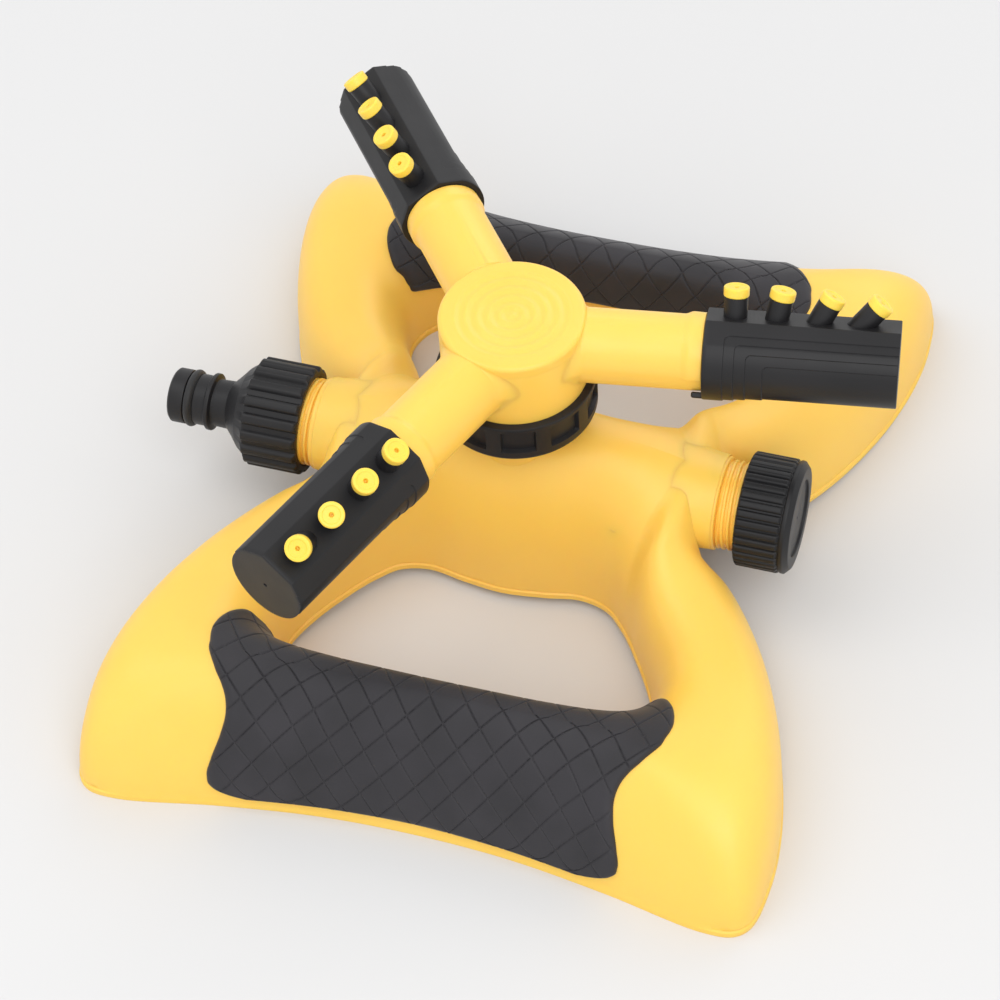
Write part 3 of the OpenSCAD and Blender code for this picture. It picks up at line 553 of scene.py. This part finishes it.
def build_water_tee():
    low, high = INLET_END + THREAD_LENGTH, OUTLET_END - THREAD_LENGTH
    tube = [[PIPE_BORE, low], [PIPE_R, low], [PIPE_R, high], [PIPE_BORE, high]]
    collar = [[RISER_BORE, PIPE_Z + 6], [RISER_R, PIPE_Z + 6], [RISER_R, 55], [13.9, 55.8],
              [15, RISER_TOP - 0.5], [14.6, RISER_TOP], [RISER_BORE, RISER_TOP]]
    parts = [along_x(lathe(rounded(tube, 0.6), 120), 0, PIPE_Z), lathe(rounded(collar, 0.4), 120),
             threaded_end(high, 1), threaded_end(low, -1)]
    lug_outline = rounded([[SCREW_R, LUG_LOW], [LUG_R, LUG_LOW], [LUG_R, LUG_TOP], [SCREW_R, LUG_TOP]], 0.3)
    lug = lathe(lug_outline, 48)
    for x in (-SCREW_X, SCREW_X):
        for y in (-SCREW_Y, SCREW_Y):
            parts.append(placed(lug, Matrix.Translation((x, y, 0))))
            reach = LUG_ARM if y > 0 else (-LUG_ARM[1], -LUG_ARM[0])
            parts.append(block((x - LUG_R, x + LUG_R), reach, (LUG_LOW, LUG_TOP)))
    points, faces = combine(*parts)
    tee = make_piece("water_pipe", points, faces, yellow_fine, "base")
    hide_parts("water_tee")


# ---- rotor ------------------------------------------------------------------------------------
ARM_Z, ARM_R, ARM_BORE, HUB_R, HUB_TOP = 88.0, 10.7, 6.5, 21.0, 94.77
ARM_TURNS = [8.9, 128.9, 248.9]
FLANGE_X, FLANGE_END, FLANGE_R = 50.9, 54.05, 11.5
SPIGOT_R, SPIGOT_END = 9.4, 61.8
FILLET = 3.6                           # between the hub's side and an arm, at arm height
TAB_GAP_LOW, TAB_GAP_HIGH = 86.0, 202.0    # part of the flange left out for the barrel's tab, degrees


def arm_frame(turn):
    return Matrix.Rotation(math.radians(turn), 4, "Z") @ Matrix.Translation((0, 0, ARM_Z))


def build_arm():
    """One arm from the hub's side to its spigot, along +X at height 0."""
    angle = np.linspace(0, 2 * math.pi, 160, endpoint=False)[:, None]      # from +Z towards -Y
    sin, cos = np.sin(angle), np.cos(angle)
    fillet = FILLET * np.abs(sin) ** 3 * np.where(cos < 0, 1 - 0.5 * smooth_step(-cos * 3), 1)
    sweep = np.linspace(math.pi / 2, 0, 15)[None, :]
    radius = ARM_R + fillet * (1 - np.cos(sweep))
    hub_x = np.sqrt(HUB_R ** 2 - (radius * sin) ** 2)
    fillet_x = hub_x + fillet * (1 - np.sin(sweep))
    root_r = 19 + 2.08 * smooth_step((radius[:, :1] * cos - 4.8) / 1.2)
    root = np.stack([radius[:, :1], np.sqrt(root_r ** 2 - (radius[:, :1] * sin) ** 2)], -1)
    degrees = np.degrees(angle)
    gap = smooth_step((degrees - TAB_GAP_LOW) / 2) * smooth_step((TAB_GAP_HIGH - degrees) / 2)
    flange = FLANGE_R - (FLANGE_R - ARM_R) * gap
    cone = np.linspace(0, 1, 7)[None, :]
    cone_r = ARM_R + (flange - ARM_R) * smooth_step(cone)
    cone_x = np.broadcast_to(FLANGE_X - 3.0 + 2.6 * cone, cone_r.shape)
    ring = np.ones_like(angle)
    tail = [(flange - 0.12, 53.93), (flange - 0.3, FLANGE_END), (SPIGOT_R * ring, FLANGE_END),
            (SPIGOT_R * ring, 58.8), (9.9 * ring, 59.1), (9.9 * ring, 60.0), (SPIGOT_R * ring, 60.3),
            (SPIGOT_R * ring, SPIGOT_END - 0.3), ((SPIGOT_R - 0.3) * ring, SPIGOT_END),
            (ARM_BORE * ring, SPIGOT_END), (ARM_BORE * ring, 15.6)]
    tail = np.stack([np.concatenate([r for r, _ in tail], 1),
                     np.concatenate([x * ring for _, x in tail], 1)], -1)
    middle = [np.stack([radius, fillet_x], -1), np.stack([cone_r, cone_x], -1)]
    outline = np.concatenate([root, *middle, tail], 1)
    points = np.stack([outline[..., 1], -outline[..., 0] * sin, outline[..., 0] * cos], -1)
    steps, count = points.shape[:2]
    return points.reshape(-1, 3), grid_faces(steps, count, close_rows=True, close_columns=True)


def build_hub():
    body = rounded([[8.08, 70.5], [8.08, 81], [17, 81], [17, HUB_TOP], [HUB_R, HUB_TOP], [HUB_R, 75.7],
                    [19.37, 75.7], [19.37, 67], [17, 67], [17, 70.5]], 0.02)
    parts = [lathe(body, 200)]
    parts += [placed(build_arm(), arm_frame(turn)) for turn in ARM_TURNS]
    points, faces = combine(*parts)
    hub = make_piece("hub_with_arms", points, faces, yellow_fine, "rotor", crease_deg=35)
    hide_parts("rotor_hub")


RIPPLE_PITCH, RIPPLE_HEIGHT, RIPPLES_END = 3.3, 0.34, 17.6
CAP_LOW, CAP_TOP = 94.79, 98.6         # the hub cap's rim


def build_hub_cap():
    radius = np.linspace(RIPPLES_END, 0.02, 150)
    fade = smooth_step((RIPPLES_END - radius) / 1.5)
    top = CAP_TOP - RIPPLE_HEIGHT * fade * (0.5 - 0.5 * np.cos(2 * math.pi * radius / RIPPLE_PITCH))
    corner = 9                             # points of a rounded corner; only the rim's upper one is kept
    rim = rounded([[HUB_R, CAP_LOW], [HUB_R, CAP_TOP], [18, CAP_TOP], [18, CAP_LOW]], 1.6, corner - 1)
    skirt = [[15, 91.8], [16.95, 91.8], [16.95, CAP_LOW], [HUB_R - 0.02, CAP_LOW]]
    underside = [[0.02, 94.8], [15, 94.8]]
    outline = np.vstack([skirt, rim[corner:2 * corner], np.stack([radius, top], -1), underside])
    points, faces = lathe(outline, 200)
    cap = make_piece("cap_of_hub", points, faces, yellow_fine, "rotor")
    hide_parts("hub_cap")


NUT_LOW, NUT_TOP, NUT_R, NUT_POCKETS = 63.0, 75.6, 23.2, 10
POCKET_WIDTH, POCKET_DEPTH, POCKET_WALL = 9.4, 1.3, 0.35
POCKET_LOW, POCKET_TOP = 65.7, 73.9


def build_nut():
    half = POCKET_WIDTH / 2 / NUT_R
    pitch = 2 * math.pi / NUT_POCKETS
    wall = POCKET_WALL / NUT_R
    cell = np.concatenate([np.linspace(-half - wall, -half, 4), np.linspace(-half, half, 9)[1:],
                           np.linspace(half, half + wall, 4)[1:],
                           np.linspace(half + wall, pitch - half - wall, 7)[1:-1]])
    turns = np.concatenate([cell + n * pitch for n in range(NUT_POCKETS)])
    in_cell = np.abs((turns / pitch + 0.5) % 1 - 0.5) * pitch
    floor = np.linspace(POCKET_LOW + 0.5, POCKET_TOP - 0.5, 10)
    heights = np.concatenate([np.linspace(NUT_LOW + 0.5, POCKET_LOW - 0.1, 5),
                              np.linspace(POCKET_LOW, POCKET_LOW + POCKET_WALL, 4), floor,
                              np.linspace(POCKET_TOP - POCKET_WALL, POCKET_TOP, 4),
                              [POCKET_TOP + 0.5, NUT_TOP - 0.4]])
    share = smooth_step((half + wall - in_cell) / wall)[:, None]
    rise = smooth_step((heights - POCKET_LOW) / POCKET_WALL)
    share = share * (rise * smooth_step((POCKET_TOP - heights) / POCKET_WALL))[None, :]
    skin = np.stack([NUT_R - POCKET_DEPTH * share, np.broadcast_to(heights, share.shape)], -1)
    rest = [[NUT_R - 0.12, NUT_TOP - 0.12], [NUT_R - 0.4, NUT_TOP], [19.4, NUT_TOP], [19.4, 65.2],
            [13.4, 65.2], [13.4, NUT_LOW], [NUT_R - 0.5, NUT_LOW], [NUT_R - 0.12, NUT_LOW + 0.16]]
    outlines = np.concatenate([skin, np.broadcast_to(rest, (len(turns), len(rest), 2))], 1)
    points, faces = spun(outlines, turns)
    nut = make_piece("ring_nut", points, faces, black, "rotor", crease_deg=30)
    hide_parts("rotor_nut")


# ---- barrels and nozzles ----------------------------------------------------------------------
BARREL_IN, BARREL_OUT, BARREL_R, BARREL_BORE, BARREL_SEAT = 54.2, 108.3, 13.0, 9.48, 62.2
NOZZLE_FLAT, SHOULDER_FLAT, SHOULDER_TURN, NOZZLE_ROLL = 11.7, 12.4, 42.0, -28.0
STEP_SIDES = [45.0, 57.0, 69.0, 83.0]   # angle from the nozzle row where each nested step starts
STEP_ENDS = [5.8, 8.8, 12.0, 16.8]      # its closed end, from the barrel's inner face
STEP_DEPTH, STEP_WALL, STEP_CORNER = 0.3, 0.22, 1.6
NOZZLES = [(7.9, 0.0), (19.5, 10.0), (31.3, 26.0), (43.2, 39.0)]        # place along, outward lean
STUB_R, STUB_LENGTH, TIP_R, TIP_LENGTH = 3.35, 5.8, 3.6, 2.9
FACET_EDGES = (24.3, 59.5)             # angles from the nozzle row where the facets end
TAB_TURN, TAB_LENGTH, TAB_HALF = 158.0, 3.0, 2.4


def barrel_radius(degrees):
    """Radius of the barrel's outer skin at an angle from the nozzle row: round, with three facets."""
    a = np.abs((degrees + 180) % 360 - 180)
    flat = NOZZLE_FLAT / np.maximum(np.cos(np.radians(a)), 0.5)
    shoulder = SHOULDER_FLAT / np.maximum(np.cos(np.radians(a - SHOULDER_TURN)), 0.5)
    soft = 0.035
    return -soft * np.log(np.exp(-BARREL_R / soft) + np.exp(-flat / soft) + np.exp(-shoulder / soft))


def step_depth(degrees, along):
    """How deep the nested steps lie at an angle and a distance from the inner face."""
    a = np.abs((degrees + 180) % 360 - 180)
    depth = 0.0
    for side, end in zip(STEP_SIDES, STEP_ENDS):
        across = STEP_CORNER - np.radians(a - side) * BARREL_R
        back = STEP_CORNER - (along - end)
        inside = STEP_CORNER - np.hypot(np.maximum(across, 0), np.maximum(back, 0)) + np.minimum(
            np.maximum(-across, 0), np.maximum(-back, 0))
        depth = depth + STEP_DEPTH * smooth_step(inside / STEP_WALL + 0.5)
    return depth


def build_barrel(k, turn):
    sides = [s * sign for s in STEP_SIDES for sign in (-1, 1)]
    edges = [e * sign for e in FACET_EDGES for sign in (-1, 1)]
    degrees = dense(-180, 180, 0.5, sides, 2.0, 4.0)
    degrees = np.unique(np.round(np.concatenate([degrees, *[np.linspace(e - 1.5, e + 1.5, 7) for e in edges],
                                                 *[s + sign * np.linspace(0, 9, 13)
                                                   for s, sign in zip(sides, [-1, 1] * 4)]]), 3))[:-1]
    along = dense(0, BARREL_OUT - BARREL_IN, 0.11, STEP_ENDS, 0.5, 1.5)
    along = np.unique(np.round(np.concatenate([along, *[e + np.linspace(0, 2, 9) for e in STEP_ENDS]]), 3))
    along = along[(along > 0.3) & (along < BARREL_OUT - BARREL_IN - 0.35)]
    radius = barrel_radius(degrees)[:, None]
    skin_r = radius - step_depth(degrees[:, None], along[None, :])
    skin = np.stack([skin_r, np.broadcast_to(BARREL_IN + along, skin_r.shape)], -1)
    last = skin_r[:, -1:]
    one = np.ones_like(last)
    head = [(0.02 * one, BARREL_SEAT), (BARREL_BORE * one, BARREL_SEAT), (BARREL_BORE * one, BARREL_IN + 0.3),
            ((BARREL_BORE + 0.3) * one, BARREL_IN), (radius - 0.3, BARREL_IN),
            (radius - 0.09, BARREL_IN + 0.09), (radius, BARREL_IN + 0.3)]
    tail = [(last, BARREL_OUT - 0.3), (last - 0.09, BARREL_OUT - 0.09), (last - 0.3, BARREL_OUT),
            (last - 1.2, BARREL_OUT), (one, BARREL_OUT), (0.62 * one, BARREL_OUT),
            (0.5 * one, BARREL_OUT - 0.5), (0.02 * one, BARREL_OUT - 0.5)]

    def ends(rows):
        return np.stack([np.concatenate([r for r, _ in rows], 1),
                         np.concatenate([x * one for _, x in rows], 1)], -1)

    outline = np.concatenate([ends(head), skin, ends(tail)], 1)
    a = np.radians(degrees)[:, None]
    points = np.stack([outline[..., 1], -outline[..., 0] * np.sin(a), outline[..., 0] * np.cos(a)], -1)
    steps, count = points.shape[:2]
    parts = [(points.reshape(-1, 3), grid_faces(steps, count, close_rows=True))]
    stub = rounded([[0.02, -3.0], [STUB_R, -3.0], [STUB_R, STUB_LENGTH], [0.02, STUB_LENGTH]], 0.2)
    for place, lean in NOZZLES:
        parts.append(placed(lathe(stub, 64), Matrix.Translation((BARREL_IN + place, 0, NOZZLE_FLAT))
                            @ Matrix.Rotation(math.radians(lean), 4, "Y")))
    tab = block((BARREL_IN - TAB_LENGTH, BARREL_IN + 0.6), (-TAB_HALF, TAB_HALF),
                (ARM_R + 0.35, BARREL_R - 0.25), edge=0.35)
    parts.append(placed(tab, Matrix.Rotation(math.radians(TAB_TURN), 4, "X")))
    points, faces = combine(*parts)
    frame_matrix = arm_frame(turn) @ Matrix.Rotation(math.radians(NOZZLE_ROLL), 4, "X")
    points, faces = placed((points, faces), frame_matrix)
    barrel = make_piece("barrel_%d" % k, points, faces, black, "barrel_%d" % k, crease_deg=28)
    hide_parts("arm_barrel_%d" % k)
    tip = rounded([[0.02, 0.02], [TIP_R, 0.02], [TIP_R, TIP_LENGTH], [2.55, TIP_LENGTH],
                   [2.4, TIP_LENGTH - 0.22], [0.75, TIP_LENGTH - 0.22],
                   [0.6, TIP_LENGTH - 0.5], [0.6, 1.2], [0.02, 1.2]], 0.5, 6)
    for n, (place, lean) in enumerate(NOZZLES, 1):
        seat = (frame_matrix @ Matrix.Translation((BARREL_IN + place, 0, NOZZLE_FLAT))
                @ Matrix.Rotation(math.radians(lean), 4, "Y") @ Matrix.Translation((0, 0, STUB_LENGTH)))
        points, faces = placed(lathe(tip, 72), seat)
        nozzle = make_piece("nozzle_tip_%d_%d" % (k, n), points, faces, yellow_tip, "barrel_%d" % k,
                            crease_deg=45)
        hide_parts("nozzle_%d_%d" % (k, n))


# ---- hose connector and end cap ---------------------------------------------------------------
# Outline of the connector's outside: radius, x
CONNECTOR_R = 15.2
CONNECTOR = [[CONNECTOR_R, -65.4], [CONNECTOR_R, -82.4], [14.4, -83.4], [12.6, -85.8], [9.6, -88.4],
             [7.3, -90.6], [7.1, -95.4], [8.7, -95.8], [8.7, -97.1], [7.7, -97.4], [7.7, -101.2],
             [6.2, -101.2], [6.2, -104.0], [8.25, -104.0], [8.25, -108.3], [7.5, -109.0], [5.0, -109.0],
             [4.6, -108.6], [4.6, -81.2], [13.3, -81.2], [13.3, -65.8], [13.7, -65.4]]
CONNECTOR_RIBS, RIB_HEIGHT, RIB_SHARE = 18, 1.25, 0.62
CAP_RIBS, CAP_RIB_HEIGHT, CAP_RIB_SHARE = 36, 0.8, 0.8
RIBS_OUTSIDE = 14.0                    # radius of an outline beyond which the ribs stand on it
O_RING_R, O_RING_WIRE, O_RING_X = 7.45, 1.25, -102.6


def ribbed(outline, steps, ribs, share, height, low, high, run):
    """Revolves an outline about X with rounded ribs between two places on X."""
    outline = np.asarray(outline, float)
    turns = np.linspace(0, 2 * math.pi, steps, endpoint=False)
    phase = np.abs((turns * ribs / (2 * math.pi)) % 1 - 0.5) * 2
    wave = np.sqrt(np.clip(1 - np.clip(phase / share, 0, 1) ** 4, 0, 1))
    ends = smooth_step((outline[:, 1] - low) / run) * smooth_step((high - outline[:, 1]) / run)
    outer = ends * (outline[:, 0] > RIBS_OUTSIDE)
    radius = outline[None, :, 0] + height * wave[:, None] * outer[None, :]
    points = np.stack([np.broadcast_to(outline[:, 1], radius.shape), radius * np.sin(turns)[:, None],
                       radius * np.cos(turns)[:, None] + PIPE_Z], -1)
    return points.reshape(-1, 3), grid_faces(steps, len(outline), close_rows=True, close_columns=True)


def filled(outline, radius, step=0.35):
    """The outline with extra points on its long straight side at the given radius."""
    out = []
    for a, b in zip(outline, np.roll(outline, -1, 0)):
        out.append(a)
        length = abs(b[1] - a[1])
        if abs(a[0] - radius) < 0.05 and abs(b[0] - radius) < 0.05 and length > 4:
            out += list(np.linspace(a, b, int(length / step))[1:-1])
    return np.array(out)


def build_connector():
    outline = filled(rounded(CONNECTOR, 0.35, 4), CONNECTOR_R)
    points, faces = ribbed(outline, CONNECTOR_RIBS * 20, CONNECTOR_RIBS, RIB_SHARE, RIB_HEIGHT,
                           low=-83.6, high=-65.0, run=1.4)
    connector = make_piece("hose_connector", points, faces, black, "inlet_coupling", crease_deg=35)
    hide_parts("inlet_connector")
    turn = np.linspace(0, 2 * math.pi, 24, endpoint=False)
    section = np.stack([O_RING_R + O_RING_WIRE * np.cos(turn), O_RING_X + O_RING_WIRE * np.sin(turn)], -1)
    points, faces = along_x(lathe(section, 96), 0, PIPE_Z)
    ring = make_piece("nipple_o_ring", points, faces, seal_rubber, "inlet_coupling")
    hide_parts("inlet_o_ring")


# Outline of the end cap: radius, x
CAP_R = 16.1
CAP = [[13.3, 67.7], [15.9, 67.7], [CAP_R, 68.0], [CAP_R, 80.9], [16.7, 81.3], [16.7, 82.4], [15.0, 83.9],
       [11.8, 83.9], [11.4, 83.7], [11.4, 83.1], [0.02, 83.1], [0.02, 80.6], [13.3, 80.6]]


def build_end_cap():
    outline = filled(rounded(CAP, 0.6, 5), CAP_R)
    points, faces = ribbed(outline, CAP_RIBS * 12, CAP_RIBS, CAP_RIB_SHARE, CAP_RIB_HEIGHT,
                           low=67.5, high=81.1, run=0.9)
    cap = make_piece("cap_on_spout", points, faces, black, "cap", crease_deg=35)
    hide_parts("end_cap")


# ---- camera, floor and light ------------------------------------------------------------------
def build_stage():
    floor_mesh = bpy.data.meshes.new("floor")
    reach = 6.0
    floor_mesh.from_pydata([(-reach, -reach, 0), (reach, -reach, 0), (reach, reach, 0), (-reach, reach, 0)],
                           [], [(0, 1, 2, 3)])
    floor = bpy.data.objects.new("floor", floor_mesh)
    bpy.context.scene.collection.objects.link(floor)
    paper = NodeMaterial("paper", 0.75, 0.2)
    paper.color(paper.ramp(paper.noise(900, 2), (0.645, 0.645, 0.648), (0.67, 0.67, 0.673)))
    floor_mesh.materials.append(paper.material)

    world = bpy.data.worlds.new("studio")
    world.use_nodes = True
    world.node_tree.nodes["Background"].inputs["Color"].default_value = (1.0, 1.0, 1.0, 1)
    world.node_tree.nodes["Background"].inputs["Strength"].default_value = 0.96
    bpy.context.scene.world = world
    bpy.context.scene.view_settings.view_transform = "Standard"
    for name, spot, size, power in (("key", (-0.55, -0.15, 1.25), 0.9, 2.6),
                                    ("fill", (0.46, -0.80, 1.15), 1.2, 7.4),
                                    ("back", (0.2, 1.3, 1.0), 1.0, 3.0)):
        light = bpy.data.lights.new(name, "AREA")
        light.shape, light.size, light.energy = "DISK", size, power
        lamp = bpy.data.objects.new(name, light)
        lamp.location = spot
        lamp.rotation_euler = (-Vector(spot)).to_track_quat("-Z", "Y").to_euler()
        bpy.context.scene.collection.objects.link(lamp)


def build_camera():
    data = bpy.data.cameras.new("camera")
    data.lens, data.sensor_width = 120.84, 36.0
    data.clip_start, data.clip_end = 0.05, 20
    camera = bpy.data.objects.new("camera", data)
    azimuth, elevation, roll = math.radians(20.12), math.radians(50.37), math.radians(-4.31)
    back = Vector((math.sin(azimuth) * math.cos(elevation), -math.cos(azimuth) * math.cos(elevation),
                   math.sin(elevation)))
    target, distance = Vector((-0.00743, -0.00078, 0.01551)), 1.0038
    turn = (-back).to_track_quat("-Z", "Y").to_matrix() @ Matrix.Rotation(roll, 3, "Z")
    camera.matrix_world = Matrix.Translation(target + back * distance) @ turn.to_4x4()
    bpy.context.scene.collection.objects.link(camera)
    bpy.context.scene.camera = camera


build_stage()
build_camera()
dress_cad_nodes()
build_base_shell()
build_grip("grip_rear", "rear_grip", 1)
build_grip("grip_front", "front_grip", -1)
build_water_tee()
build_hub()
build_hub_cap()
build_nut()
for number, arm_turn in enumerate(ARM_TURNS, 1):
    build_barrel(number, arm_turn)
build_connector()
build_end_cap()

bpy.context.view_layer.update()
